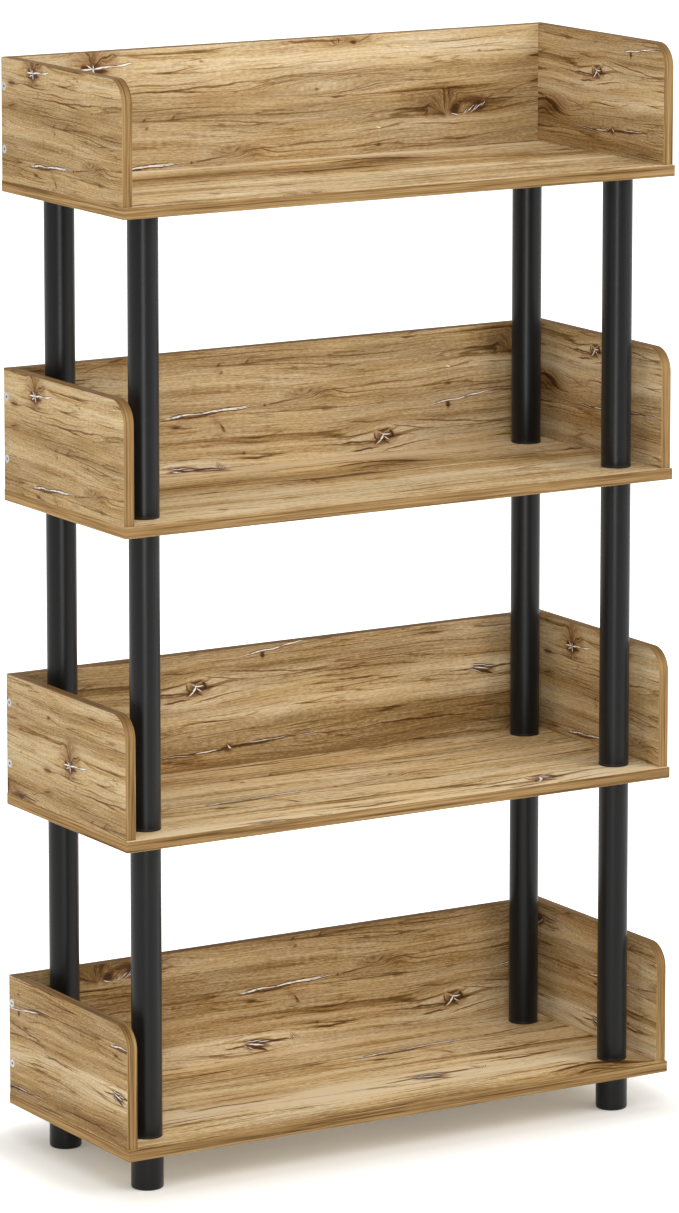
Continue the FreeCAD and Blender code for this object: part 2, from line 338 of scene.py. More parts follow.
class SwellGroup(ShaderGroup):
    """How far the grain is pushed across by an eye that it flows round or a swirl that it slants through."""

    name = "Oak swell"
    inputs = {"Sheet": Kind.VECTOR, "Middle": Kind.VECTOR, "Nearness": Kind.VECTOR, "Lean": Kind.VECTOR}
    outputs = {"Push": Kind.NUMBER, "Mask": Kind.NUMBER}

    def build(self, graph: Graph, given: dict[str, Socket]) -> dict[str, Value]:
        """Lean's first number slants the lines, and its second spreads them apart at the middle."""
        away = graph.vector("SUBTRACT", given["Sheet"], given["Middle"])
        share = graph.vector("MULTIPLY", away, given["Nearness"])
        square = graph.vector("DOT_PRODUCT", share, share)
        falloff = graph.math("EXPONENT", graph.math("MULTIPLY", square, -1.0))
        push = graph.math("MULTIPLY", graph.vector("DOT_PRODUCT", away, given["Lean"]), falloff)
        return {"Push": graph.math("MULTIPLY", push, -1.0), "Mask": falloff}


class FanGroup(ShaderGroup):
    """How a knot bends the grain above it into rays that leave it and lie down level further out."""

    name = "Oak fan"
    inputs = {"Sheet": Kind.VECTOR, "Middle": Kind.VECTOR, "Reach": Kind.NUMBER, "Below": Kind.NUMBER}
    outputs = {"Push": Kind.NUMBER, "Slide": Kind.NUMBER, "Mask": Kind.NUMBER}

    # The share of the reach inside which the rays are whole, how wide the seam between left and right is as
    # a share of it, how far the two sides read apart in millimetres, and how much the rays wander
    LEVEL_FROM = 0.6
    SEAM = 0.1
    SIDE_SHIFT = 60.0
    WANDER = 0.4
    WANDER_SIZE = (9.0, 9.0, 1.0)
    WANDER_NOISE = (1.0, 0.5, 5.5)

    def build(self, graph: Graph, given: dict[str, Socket]) -> dict[str, Value]:
        """Reads the height from the angle near the knot, and keeps the left rays unlike the right ones."""
        away = graph.vector("SUBTRACT", given["Sheet"], given["Middle"])
        right = graph.vector("DOT_PRODUCT", away, (1.0, 0.0, 0.0))
        down = graph.vector("DOT_PRODUCT", away, (0.0, 1.0, 0.0))
        share = graph.math("DIVIDE", graph.vector("LENGTH", away), given["Reach"])
        angle = graph.math("ARCTAN2", graph.math("ABSOLUTE", right), graph.math("MULTIPLY", down, -1.0))
        wander = graph.noise(graph.vector("DIVIDE", away, self.WANDER_SIZE), *self.WANDER_NOISE)
        ray = graph.math("MULTIPLY_ADD", angle, 2 / math.pi, -1.0)
        ray = graph.sway(wander, self.WANDER, ray)
        lift = graph.math("SUBTRACT", graph.math("MULTIPLY", ray, given["Reach"]), down)
        under = graph.math("MULTIPLY", graph.math("GREATER_THAN", down, 0.0),
                           graph.math("SUBTRACT", 1.0, given["Below"]))
        kept = graph.math("SUBTRACT", 1.0, under)
        near = graph.math("MULTIPLY", graph.rescale(share, 1.0, self.LEVEL_FROM), kept)
        side = graph.rescale(graph.math("DIVIDE", right, given["Reach"]), -self.SEAM, self.SEAM,
                             -self.SIDE_SHIFT, self.SIDE_SHIFT)
        close = graph.math("SUBTRACT", 1.0, share, clamp=True)
        mask = graph.math("MULTIPLY", graph.math("SQRT", close), kept)
        return {
            "Push": graph.math("MULTIPLY", lift, near),
            "Slide": graph.math("MULTIPLY", side, near),
            "Mask": mask,
        }


class GrainGroup(ShaderGroup):
    """The plain wood's tone from long streaks, rings, fibres and pores, 0 for pale and 1 for dark."""

    name = "Oak grain"
    inputs = {"Along": Kind.NUMBER, "Height": Kind.NUMBER, "Rays": Kind.NUMBER}
    outputs = {"Tone": Kind.NUMBER}

    # Noises: length, width, finer layers, which noise, how rough
    FINE = (70, 1.5, 3, 9.0, 0.74)
    FIBRES = (6, 1.5, 2, 27.0, 0.6)
    VEINED = (150, 11, 2, 17.0, 0.6)
    CRACKS = (20, 0.8, 2, 19.0, 0.55)
    CRACKED = (120, 12, 2, 23.0, 0.6)
    PORES = (7, 0.7, 1, 21.0, 0.6)
    # The noise at which each starts to show and shows fully
    VEINED_RANGE = (0.40, 0.60)
    CRACKS_RANGE = (0.60, 0.70)
    CRACKED_RANGE = (0.48, 0.66)
    PORES_RANGE = (0.58, 0.74)
    # How strongly they show, and how the darkest wood is held back
    FINE_WEIGHT = 0.66
    RAY_WEIGHT = 0.75
    FIBRE_WEIGHT = 0.54
    CRACK_WEIGHT = 0.16
    PORE_WEIGHT = 0.2
    DARK_FROM = 0.58
    DARK_HELD = -0.4

    def streaks(self, length: float, across: float, detail: float, seed: float, rough: float) -> Socket:
        """Noise drawn out along the grain.

        Args:
            length, across: The size of a streak in millimetres.
            detail: How many finer layers it has.
            seed: Which noise it is.
            rough: How strong the finer layers are.

        Returns:
            Noise between 0 and 1.
        """
        along = self.graph.math("DIVIDE", self.along, length)
        place = self.graph.combine(along, self.graph.math("DIVIDE", self.height, across), seed)
        return self.graph.noise(place, detail, rough)

    def build(self, graph: Graph, given: dict[str, Socket]) -> dict[str, Value]:
        """Adds the layers to the print's own light and dark bands."""
        self.along, self.height = given["Along"], given["Height"]
        half = SHEET_HEIGHT / 2
        share = graph.rescale(graph.math("WRAP", self.height, half, -half), -half, half, smooth=False)
        stops = tuple(((level + half) / SHEET_HEIGHT, (depth, depth, depth)) for level, depth in BANDS)
        tone = graph.ramp(share, stops, "EASE")
        for length, across, detail, seed, weight, rough in LAYERS:
            tone = graph.sway(self.streaks(length, across, detail, seed, rough), weight, tone)
        fine = graph.math("MULTIPLY_ADD", given["Rays"], self.RAY_WEIGHT, self.FINE_WEIGHT)
        tone = graph.sway(self.streaks(*self.FINE), fine, tone)
        tone = graph.sway(self.streaks(*self.FIBRES), self.FIBRE_WEIGHT, tone)
        veined = graph.rescale(self.streaks(*self.VEINED), *self.VEINED_RANGE)
        for length, across, seed, width, weight in VEINS:
            level = self.streaks(length, across, 1, seed, 0.4)
            line = graph.rescale(graph.math("ABSOLUTE", graph.math("SUBTRACT", level, 0.5)), width, 0.0)
            tone = graph.math("MULTIPLY_ADD", graph.math("MULTIPLY", line, veined), weight, tone)
        cracks = graph.rescale(self.streaks(*self.CRACKS), *self.CRACKS_RANGE)
        cracked = graph.rescale(self.streaks(*self.CRACKED), *self.CRACKED_RANGE)
        tone = graph.math("MULTIPLY_ADD", graph.math("MULTIPLY", cracks, cracked), self.CRACK_WEIGHT, tone)
        pores = graph.rescale(self.streaks(*self.PORES), *self.PORES_RANGE)
        tone = graph.math("MULTIPLY_ADD", graph.math("MULTIPLY", pores, veined), self.PORE_WEIGHT, tone)
        excess = graph.math("MAXIMUM", graph.math("SUBTRACT", tone, self.DARK_FROM), 0.0)
        return {"Tone": graph.math("MULTIPLY_ADD", excess, self.DARK_HELD, tone)}


class WaveGroup(ShaderGroup):
    """Slow and quick waves that bend the grain, and the roughness of the marks on it."""

    name = "Oak waves"
    inputs = {"Sheet": Kind.VECTOR}
    outputs = {"Push": Kind.NUMBER, "Aside": Kind.NUMBER, "Break": Kind.NUMBER, "Warmth": Kind.NUMBER}

    # The grain's waves: length, width, reach, which noise; and how far the marks wander, in millimetres
    WAVES = ((300, 90, 26, 1.3), (80, 26, 6, 4.1), (22, 7, 1.2, 7.7))
    WANDER = 5.0
    # Other noises: their size, finer layers, how rough, which noise
    ASIDE = ((28, 10), 2.0, 0.45, 3.3)
    BREAK = ((10, 2.6), 2.0, 0.6, 6.1)
    WARMTH = ((130, 22), 2.0, 0.6, 9.4)
    WARMTH_RANGE = (0.32, 0.68)

    def build(self, graph: Graph, given: dict[str, Socket]) -> dict[str, Value]:
        """Sums three sizes of wave for the grain and reads two quicker ones for the marks."""
        def noise(size: tuple[float, float], detail: float, rough: float, seed: float) -> Socket:
            """Noise of one size on the sheet."""
            return graph.noise(graph.vector("DIVIDE", given["Sheet"], (*size, 1.0)), detail, rough, seed)

        push: Value = 0.0
        for length, across, reach, seed in self.WAVES:
            push = graph.sway(noise((length, across), 1.0, 0.5, seed), reach, push)
        aside = graph.sway(noise(*self.ASIDE), self.WANDER, 0.0)
        broken = noise(*self.BREAK)
        warmth = graph.rescale(noise(*self.WARMTH), *self.WARMTH_RANGE)
        return {"Push": push, "Aside": aside, "Break": broken, "Warmth": warmth}


@dataclass(frozen=True)
class Placed:
    """What has its middle at a place on the sheet. Places and radii are in millimetres."""

    s: float
    t: float


@dataclass(frozen=True)
class Swell(Placed):
    """An eye that the grain flows round, or with a slant a swirl."""

    radius_s: float
    radius_t: float
    strength: float
    slant: float = 0.0
    rust: float = 0.0


@dataclass(frozen=True)
class Shade(Placed):
    """A broad patch that is darker, or with a negative amount paler, than the bands."""

    radius_s: float
    radius_t: float
    amount: float
    turn: float = 0.0


@dataclass(frozen=True)
class Stroke(Placed):
    """A crack or line. turn is in degrees, downwards to the right, filler a width and bow a lift."""

    half_length: float
    half_width: float
    turn: float = 0.0
    strength: float = 0.8
    filler: float = 0.0
    bow: float = 0.0


@dataclass(frozen=True)
class Blotch(Placed):
    """A dark or rusty spot."""

    radius_s: float
    radius_t: float
    turn: float = 0.0
    strength: float = 0.7


@dataclass(frozen=True)
class Fan(Placed):
    """Grain that leaves a knot upwards as rays.

    below is how far it also does so downwards, and depth how dark its rays are, 0 to 1 each.
    """

    reach: float
    below: float = 0.0
    depth: float = 0.5


SWELLS = (
    Swell(147, 47, 70, 19, 0.75),
    Swell(-100, 63, 62, 10, 0.6),
    Swell(-240, -40, 60, 14, 0.5),
    Swell(-116, -106, 55, 15, 0.6),
    Swell(165, -70, 62, 9, 0.75),
    Swell(52, 97, 42, 15, 0.2, slant=0.42, rust=0.5),
    Swell(62, -8, 24, 7, 0.3, slant=-0.5, rust=0.25),
    Swell(190, -122, 34, 10, 0.75),
    Swell(-178, -151, 24, 9, 0.6),
    Swell(200, 110, 40, 8, 0.4),
)

# Each row is a stroke: s, t, half length, half width, turn, strength, filler, bow
STROKES = tuple(Stroke(*row) for row in (
    # The filled crack, its dot's tail and the thin line that leads up to it
    (-62, 1.4, 72, 2.4, -1.5, 0.95, 0.55), (-106, 2.8, 20, 2.7, -4, 0.95, 1.15),
    (-46, 0.0, 36, 2.2, -2, 0.95, 0.65), (-95, 4.9, 50, 1.5, -2), (-245, 4.6, 160, 1.3, -0.3, 0.7),
    (18, -1.5, 26, 1.3, -5, 0.75), (36, -3, 22, 1.1, -8, 0.55, 0, 1.5),
    (74, -9, 20, 1.2, -6, 0.6, 0, 1.5), (62, -13, 18, 0.9, -8, 0.4, 0, 2),
    (80, -4, 20, 0.9, -3, 0.4, 0, -1.5), (135, -11.5, 90, 1.5, -1, 0.65),
    (-59, 13, 9, 2.6, 44, 0.5, 0, 2.5), (-52, 20, 6, 1.8, 52),
    # The white star and its streak
    (-96, -107.3, 26, 2.0, -4, 0.85, 0.55), (-126, -106, 10, 2.6, -3, 0.95, 1.2),
    (-117.5, -104, 7, 2.6, 84, 0.95, 1.3, 0.6), (-123, -102.5, 5, 2.2, -14, 0.95, 1.1),
    (-108, -106.5, 13, 2.8, -4, 0.95, 1.5, 0.6), (-122, -108.5, 5, 1.8, 34, 0.95, 0.7),
    (-78, -109.4, 13, 2.0, -3, 0.8, 1.0), (-128, -116, 30, 1.1, 3, 0.5), (-130, -110, 22, 1.1, 5, 0.6),
    # Dashes beside the star
    (-180, -90, 17, 2.6, 3, 0.85), (-160, -90.5, 26, 1.1, -1, 0.6), (-181, -63, 12, 2.4, -10, 0.75),
    (-172, -66, 16, 1.4, 8, 0.6), (-142, -71.5, 40, 1.2, 1, 0.6), (-208, -131, 95, 1.3, 0.5, 0.6),
    (-283, -138, 26, 1.3, -2, 0.6),
    # The long line under the light band
    (8, -79, 96, 1.6, -2.2, 0.75, 0, 1.5), (228, -60.5, 104, 1.0, 0.5, 0.6), (181, -60, 13, 1.6, 2),
    (240, -80, 34, 1.0, 5, 0.55), (-236, -98.5, 20, 0.9, 1, 0.45), (205, -83, 70, 0.9, 3, 0.45),
    (150, -120.5, 48, 2.0, 1.5, 0.75), (216, -121, 17, 1.4, -20, 0.6), (-165, -153, 26, 1.1, 9, 0.6),
    # The dark knot with the fan
    (-262, -45, 28, 2.4, -6, 0.8, 0, 3), (-240, -46, 40, 1.5, 3, 0.8, 0, 4),
    (-236, -41, 26, 1.1, -4, 0.7, 0, 2), (-300, -60, 44, 0.9, 0.5, 0.7),
    (-310, -23.5, 44, 1.0, 1.5, 0.65), (-280, -6, 62, 1.0, -2.5, 0.6, 0, 1.5),
    (-206, -57, 28, 0.9, -12, 0.6, 0, -4), (-274, -33, 5, 1.5, -46, 0.95, 0.55),
    (-268, -35.5, 8, 1.5, -36, 0.95, 0.6), (-262.5, -35.5, 7, 1.5, -45, 0.95, 0.5, 0.6),
    (-257, -38, 7.5, 1.5, -35, 0.95, 0.6), (-251, -40.5, 5, 1.4, -48, 0.95, 0.45),
    (-287, -32, 6, 1.8, 16, 0.95, 0.7),
    # The forked knot and the grain about it
    (146.5, 49, 9, 3.0, -52, 0.95, 1.3, 2), (151, 44.5, 8, 2.4, 8, 0.95, 0.9, 2.5),
    (154, 50, 6, 2.2, 34, 0.9, 0.8, 1), (149, 40, 10, 1.9, -4, 0.85, 0, 2.5),
    (160, 44, 7, 2.4, 62, 0.9, 0, -2), (138, 46, 6, 1.8, 70, 0.85, 0, 2),
    (152, 53, 7, 1.5, 20, 0.8, 0, -2), (140, 52, 6, 1.6, -60, 0.8, 0, 1.5), (116, 51, 30, 1.4, 1, 0.85),
    (126, 59, 22, 1.6, -4, 0.85), (176, 58, 38, 1.2, -8, 0.75, 0, -2), (112, 43, 30, 1.1, -6, 0.7, 0, 2),
    (188, 40, 34, 1.1, 8, 0.7, 0, 2), (176, 47, 18, 0.9, 0, 0.5), (126, 29, 30, 1.2, 3, 0.7, 0, 1.5),
    (238, 37, 82, 1.3, 6, 0.75),
    # The grey oval knot
    (-97, 63.5, 62, 1.6, -1, 0.85), (-107, 60, 13, 2.2, 6, 0.95, 0.5, 1.5),
    (-104, 64, 12, 2.6, 10, 0.95, 1.0), (-99, 69, 13, 2.0, 14, 0.95, 0, -1.5),
    (-94, 62, 9, 1.8, 0, 0.9, 0.45), (-112, 66.5, 9, 1.8, 22, 0.9, 0.4),
    (-57, 60, 7, 1.6, 50, 0.85, 0.5), (-51, 62, 6, 1.3, -40, 0.8, 0.4),
    # The thin white streak and the drop below it
    (226, 15.5, 26, 2.2, -5, 0.9, 0.85), (262, 11, 32, 2.2, -8, 0.85, 0.95), (300, 8, 24, 1.4, -2, 0.75),
    (183, 19.5, 22, 0.9, 0, 0.5), (203, -23, 26, 1.2, 0, 0.3, 0.22),
    (231.5, -24, 3.4, 1.9, 12, 0.6, 1.1), (230.5, -13, 8, 1.0, 78, 0.3, 0, 1.5),
    # The long knotty crack
    (196, 116, 112, 2.2, -2.5, 0.85), (126, 119, 22, 2.4, 1, 0.8, 0.3),
    (164, 117, 18, 2.6, -4, 0.85, 0.7), (190, 115.5, 4, 1.8, 40, 0.9, 0.8, 1),
    (236, 113, 30, 2.4, -1, 0.85, 0.45), (288, 112, 16, 2.2, -3, 0.75, 0.35),
    (-190, 111, 102, 1.3, 0, 0.8, 0, -5), (-100, 123, 50, 1.1, 12, 0.5), (-268, 57, 48, 1.5, 2.5, 0.75),
    (-205, 68, 60, 0.8, 4, 0.45), (-245, 46, 46, 1.3, 4, 0.5), (-270, 37, 34, 1.2, 3, 0.45),
    (290, 78, 30, 1.0, 3, 0.5),
    # The feather knot
    (10, 87, 12, 1.8, 6, 0.75), (30, 94, 16, 2.0, 30, 0.85, 0, 2), (44, 101, 20, 2.2, 26, 0.85, 0, 2),
    (36, 103, 16, 1.6, 20, 0.8, 0, 2), (54, 98, 18, 1.2, 30, 0.65, 0, 3),
    (66, 93, 18, 1.2, 26, 0.6, 0, 3), (92, 89, 28, 1.1, 8, 0.6, 0, -2),
    (74, 105, 14, 1.1, 24, 0.6, 0, 2), (24, 109, 30, 1.5, -2, 0.6), (112, 158, 20, 2.2, -14, 0.6),
    (-90, 159, 60, 0.9, 0, 0.4), (20, 151, 44, 1.0, 1, 0.45),
))

# Each row is a blotch: s, t, its two radii, turn, strength
BLOTCHES = tuple(Blotch(*row) for row in (
    (0, 0, 3.0, 2.2, 0, 0.85), (-182, -90, 16, 6, 0, 0.5), (-180, -62, 18, 7, 0, 0.4),
    (-51, 22, 5, 2.6, 52), (-60, 12, 11, 6, 40, 0.35), (-118, -104, 22, 10, 0, 0.85),
    (-128, -108, 6, 3, 0, 0.8), (-108, -102.5, 10, 3), (-118, -95, 15, 8, 10, 0.45),
    (-112, -116, 26, 10, -6, 0.5), (-57, -48, 3.4, 1.8, -30), (-56, -45, 9, 6, -40, 0.25),
    (-54, -39, 3.6, 2.0, -30), (-22, -49, 3.8, 1.9, -40), (-17, -52, 8, 3, -30, 0.35),
    (12, -107, 3.4, 1.8), (-256, -99, 3.5, 1.6), (154, -69, 3.5, 2), (293, -81, 8, 2.2, 0, 0.6),
    (244, -110, 5, 1.5, 20, 0.5), (-26, 49, 2.8, 2.2), (-102, -83, 4, 2, 0, 0.5),
    (190, -120, 19, 5, 0, 0.4), (200, -117, 6, 3, 0, 0.9), (-177, -155, 8, 3, 0, 0.8),
    (-287, -37, 10, 7.5, -20, 0.92), (-257, -39, 16, 9, -10, 0.88), (-267, -46, 24, 5.5, -8, 0.75),
    (-303, -33, 6, 3.5, 30, 0.55), (-312, -34, 7, 3.5, 10, 0.45), (-240, -44, 22, 4, 6, 0.5),
    (-316, -35, 22, 9, 8, 0.35), (-103, 64.5, 20, 7.5, 6, 0.92), (-56, 62, 6, 5, 0, 0.45),
    (150, 47, 15, 10, -10, 0.8), (132, 55, 24, 5, -6, 0.35), (231, 18.5, 4, 4, 20, 0.85),
    (232, 21, 3, 3), (231, -4.5, 5, 2.6, 0, 0.75), (-196, 38, 4, 2.0, 0, 0.45),
    (-188, 41, 4, 2.2, 0, 0.45), (-206, 9, 4, 3, 0, 0.5), (-199, 9, 4, 3, 0, 0.5),
    (189, 116, 8, 5.5, 0, 0.85), (40, 99, 24, 8, 22, 0.45), (56, 96, 30, 12, 20, 0.22),
    (-255, 46, 70, 14, 0, 0.25), (-60, 130, 26, 8, 10, 0.45), (45, -9, 32, 9, -6, 0.25),
))

FANS = (
    Fan(-298, -32, 33, depth=0.2),
    Fan(-118, -105, 17, 0.5, 0.6),
    Fan(-118, -110, 33, depth=1.0),
    Fan(-60, 140, 14),
    Fan(180, -114, 14),
)

SHADES = (
    Shade(-270, -46, 90, 24, 0.12),
    Shade(-118, -108, 50, 18, 0.14),
    Shade(150, 50, 70, 24, -0.12),
    Shade(150, 49, 26, 14, 0.16),
    Shade(300, -52, 60, 20, 0.14),
    Shade(60, -8, 44, 10, 0.14),
    Shade(-100, 62, 70, 16, -0.10),
    Shade(140, -72, 56, 10, -0.12),
    Shade(195, -118, 50, 9, 0.18),
    Shade(40, 97, 46, 18, 0.10),
)

# The print's broad light and dark bands: the height across the grain, and how dark the oak is there
BANDS = (
    (-171, 0.46), (-150, 0.44), (-134, 0.46), (-122, 0.34), (-104, 0.26), (-90, 0.32), (-80, 0.50),
    (-66, 0.44), (-56, 0.54), (-42, 0.46), (-26, 0.38), (-14, 0.42), (0, 0.48), (16, 0.40), (32, 0.46),
    (46, 0.38), (62, 0.26), (78, 0.24), (88, 0.38), (100, 0.52), (116, 0.58), (130, 0.56), (146, 0.42),
    (160, 0.38), (171, 0.46),
)

# Streaks of the plain wood: length, width, finer layers, which noise, how strong, how rough
LAYERS = (
    (380, 15, 2, 2.0, 0.54, 0.5),
    (110, 3.6, 3, 5.0, 0.29, 0.6),
)

# Thin dark lines along the grain: length, spacing, which noise, how thin, how dark
VEINS = (
    (300, 10, 13.0, 0.022, 0.44),
    (110, 5, 15.0, 0.032, 0.26),
)


@dataclass(frozen=True)
class OakInk:
    """The colours of the printed oak, from its lightest wood to its darkest crack."""

    cream: Colour = srgb(230, 210, 174)
    honey: Colour = srgb(209, 184, 141)
    tan: Colour = srgb(181, 151, 105)
    brown: Colour = srgb(139, 106, 60)
    umber: Colour = srgb(84, 56, 24)
    stain: Colour = (0.42, 0.22, 0.07)
    crack: Colour = srgb(50, 31, 15)
    grey_cast: Colour = (1.0, 1.03, 1.12)
    warm_cast: Colour = (1.0, 0.955, 0.86)
    filler: Colour = srgb(246, 240, 229)


OAK = OakInk()


@dataclass(frozen=True)
class Window:
    """The stretch of the sheet that one panel shows, in millimetres on the sheet."""

    left: float
    right: float
    top: float
    bottom: float

    # The repeats of the sheet that are looked at, more than any panel reaches
    TURNS = range(-3, 4)

    def repeats(self, mark: Placed, reach_s: float, reach_t: float) -> list[Place]:
        """Where a mark falls on the panel, once for each repeat of the sheet.

        Args:
            mark: The mark.
            reach_s, reach_t: How far it reaches along and across.

        Returns:
            The middles of those that the panel shows at least the edge of.
        """
        found = []
        for column in self.TURNS:
            for row in self.TURNS:
                at_s, at_t = mark.s + column * SHEET_LENGTH, mark.t + row * SHEET_HEIGHT
                if (self.left - reach_s < at_s < self.right + reach_s
                        and self.top - reach_t < at_t < self.bottom + reach_t):
                    found.append((at_s, at_t, 0.0))
        return found


def axes(turn: float, reach: float, width: float) -> dict[str, Place]:
    """A mark's two directions, divided by its reach along them.

    Args:
        turn: The mark's slope in degrees, downwards to the right.
        reach, width: Its half length and half width in millimetres.

    Returns:
        The group inputs Along and Across.
    """
    cosine, sine = math.cos(math.radians(turn)), math.sin(math.radians(turn))
    return {"Along": (cosine / reach, sine / reach, 0.0), "Across": (-sine / width, cosine / width, 0.0)}


class OakPrinter:
    """Prints the stretch of oak that a panel shows into the panel's material."""

    # The oak's colours by its tone
    TONES = ((0.0, OAK.cream), (0.26, OAK.honey), (0.5, OAK.tan), (0.75, OAK.brown), (1.0, OAK.umber))
    MIDDLE_TONE = 0.42
    RUST = 0.6
    CRACK_COLOUR = (0.55, 1.0, 0.0, 0.85)
    FILLER_GAPS = (0.34, 0.48, 0.4, 1.0)
    BODY = (1.1, 0.45)
    RIM = (2.0, 0.2)
    NO_CORE = 9.0

    def __init__(self) -> None:
        """Builds the shader groups that all panels share."""
        self.grain = GrainGroup()
        self.waves = WaveGroup()
        self.swell = SwellGroup()
        self.blotch = BlotchGroup()
        self.stroke = StrokeGroup()
        self.fan = FanGroup()

    def paint(
        self, graph: Graph, point: Socket, window: Window, darker: float = 0.0, contrast: float = 1.0,
        cast: Colour = WHITE,
    ) -> Socket:
        """Adds the print to a material.

        Args:
            graph: The material's tree.
            point: The place on the sheet, in millimetres.
            window: What the panel shows of the sheet.
            darker: How much darker than the sheet the panel is, partly for its lot and partly as painted
                light and shade.
            contrast: How strong its grain is beside the sheet's.
            cast: What its colours are multiplied by.

        Returns:
            The colour.
        """
        sheet = graph.vector("MULTIPLY", point, (1.0, 1.0, 0.0))
        waves = graph.group(self.waves.tree, Sheet=sheet)
        height, slide, rays = self.flow(graph, sheet, window)
        height = graph.math("ADD", height, waves.outputs["Push"])
        along = graph.math("ADD", graph.vector("DOT_PRODUCT", sheet, (1.0, 0.0, 0.0)), slide)
        grain = graph.group(self.grain.tree, Along=along, Height=height, Rays=rays)
        shift = darker + self.MIDDLE_TONE * (1 - contrast)
        lot = graph.math("MULTIPLY_ADD", grain.outputs["Tone"], contrast, shift)
        tone = self.shades(graph, sheet, window, lot)
        moved = graph.vector("ADD", sheet, graph.combine(0.0, waves.outputs["Aside"]))
        dark, light = self.marks(graph, moved, window, waves.outputs["Break"])
        colour = graph.ramp(tone, self.TONES)
        colour = graph.mix(1.0, colour, graph.mix(waves.outputs["Warmth"], OAK.grey_cast, OAK.warm_cast),
                           "MULTIPLY")
        colour = graph.mix(1.0, colour, cast, "MULTIPLY")
        rusty = graph.math("MULTIPLY", rays, self.RUST)
        stained = graph.mix(graph.math("MAXIMUM", dark, rusty), colour, OAK.stain, "MULTIPLY")
        cracked = graph.mix(graph.rescale(dark, *self.CRACK_COLOUR), stained, OAK.crack)
        return graph.mix(light, cracked, OAK.filler)

    def flow(self, graph: Graph, sheet: Socket, window: Window) -> tuple[Socket, Value, Value]:
        """Lets the grain flow round the eyes and fan out from the knots.

        Args:
            graph: The material's tree.
            sheet: The place on the sheet.
            window: What the panel shows of the sheet.

        Returns:
            The height across the grain, how far it slides along, and how near a fan's knot it is.
        """
        height = graph.vector("DOT_PRODUCT", sheet, (0.0, 1.0, 0.0))
        slide: Value = 0.0
        rays: Value = 0.0
        for swell in SWELLS:
            for middle in window.repeats(swell, 2 * swell.radius_s, 2 * swell.radius_t):
                made = graph.group(
                    self.swell.tree, Sheet=sheet, Middle=middle, Lean=(swell.slant, swell.strength, 0.0),
                    Nearness=(1 / swell.radius_s, 1 / swell.radius_t, 0.0),
                )
                height = graph.math("ADD", height, made.outputs["Push"])
                if swell.rust:
                    rust = graph.math("MULTIPLY", made.outputs["Mask"], swell.rust)
                    rays = graph.math("MAXIMUM", rays, rust)
        for fan in FANS:
            for middle in window.repeats(fan, fan.reach, fan.reach):
                made = graph.group(
                    self.fan.tree, Sheet=sheet, Middle=middle, Reach=fan.reach, Below=fan.below,
                )
                height = graph.math("ADD", height, made.outputs["Push"])
                slide = graph.math("ADD", slide, made.outputs["Slide"])
                rays = graph.math("MAXIMUM", rays, graph.math("MULTIPLY", made.outputs["Mask"], fan.depth))
        return height, slide, rays

    def spot(
        self, graph: Graph, sheet: Socket, middle: Place, shape: Union[Shade, Blotch], rim: Value,
    ) -> Socket:
        """The mask of one oval spot."""
        shares = axes(shape.turn, shape.radius_s, shape.radius_t)
        return graph.group(self.blotch.tree, Sheet=sheet, Middle=middle, Rim=rim, **shares).outputs[0]

    def shades(self, graph: Graph, sheet: Socket, window: Window, tone: Socket) -> Socket:
        """Adds the broad lighter and darker patches to the tone."""
        for shade in SHADES:
            for middle in window.repeats(shade, shade.radius_s, shade.radius_t):
                mask = self.spot(graph, sheet, middle, shade, 1.0)
                tone = graph.math("MULTIPLY_ADD", mask, shade.amount, tone)
        return graph.math("MAXIMUM", tone, 0.0, clamp=True)

    def marks(self, graph: Graph, sheet: Socket, window: Window, broken: Socket) -> tuple[Value, Value]:
        """The knots, cracks, spots and fillers.

        Args:
            graph: The material's tree.
            sheet: The place on the sheet, moved a little so that no line is straight.
            window: What the panel shows of the sheet.
            broken: Noise that breaks the marks up.

        Returns:
            How dark and how filled the oak is, 0 to 1 each.
        """
        body = graph.math("MULTIPLY_ADD", broken, *self.BODY)
        rim = graph.math("MULTIPLY_ADD", broken, *self.RIM)
        dark: Value = 0.0
        light: Value = 0.0
        for blotch in BLOTCHES:
            for middle in window.repeats(blotch, blotch.radius_s, blotch.radius_s):
                mask = self.spot(graph, sheet, middle, blotch, rim)
                rest = graph.math("MULTIPLY_ADD", mask, -blotch.strength, 1.0)
                clear = graph.math("MULTIPLY", graph.math("SUBTRACT", 1.0, dark), rest)
                dark = graph.math("SUBTRACT", 1.0, clear)
        for stroke in STROKES:
            core = stroke.half_width / stroke.filler if stroke.filler else self.NO_CORE
            for middle in window.repeats(stroke, stroke.half_length, stroke.half_length):
                made = graph.group(
                    self.stroke.tree, Sheet=sheet, Middle=middle, Bow=stroke.bow / stroke.half_width,
                    Body=body, Core_Ratio=core, **axes(stroke.turn, stroke.half_length, stroke.half_width),
                )
                stain = graph.math("MULTIPLY", made.outputs["Dark"], stroke.strength)
                dark = graph.math("MAXIMUM", dark, stain)
                if stroke.filler:
                    light = graph.math("MAXIMUM", light, made.outputs["Core"])
        light = graph.math("MULTIPLY", light, graph.rescale(broken, *self.FILLER_GAPS))
        return dark, light


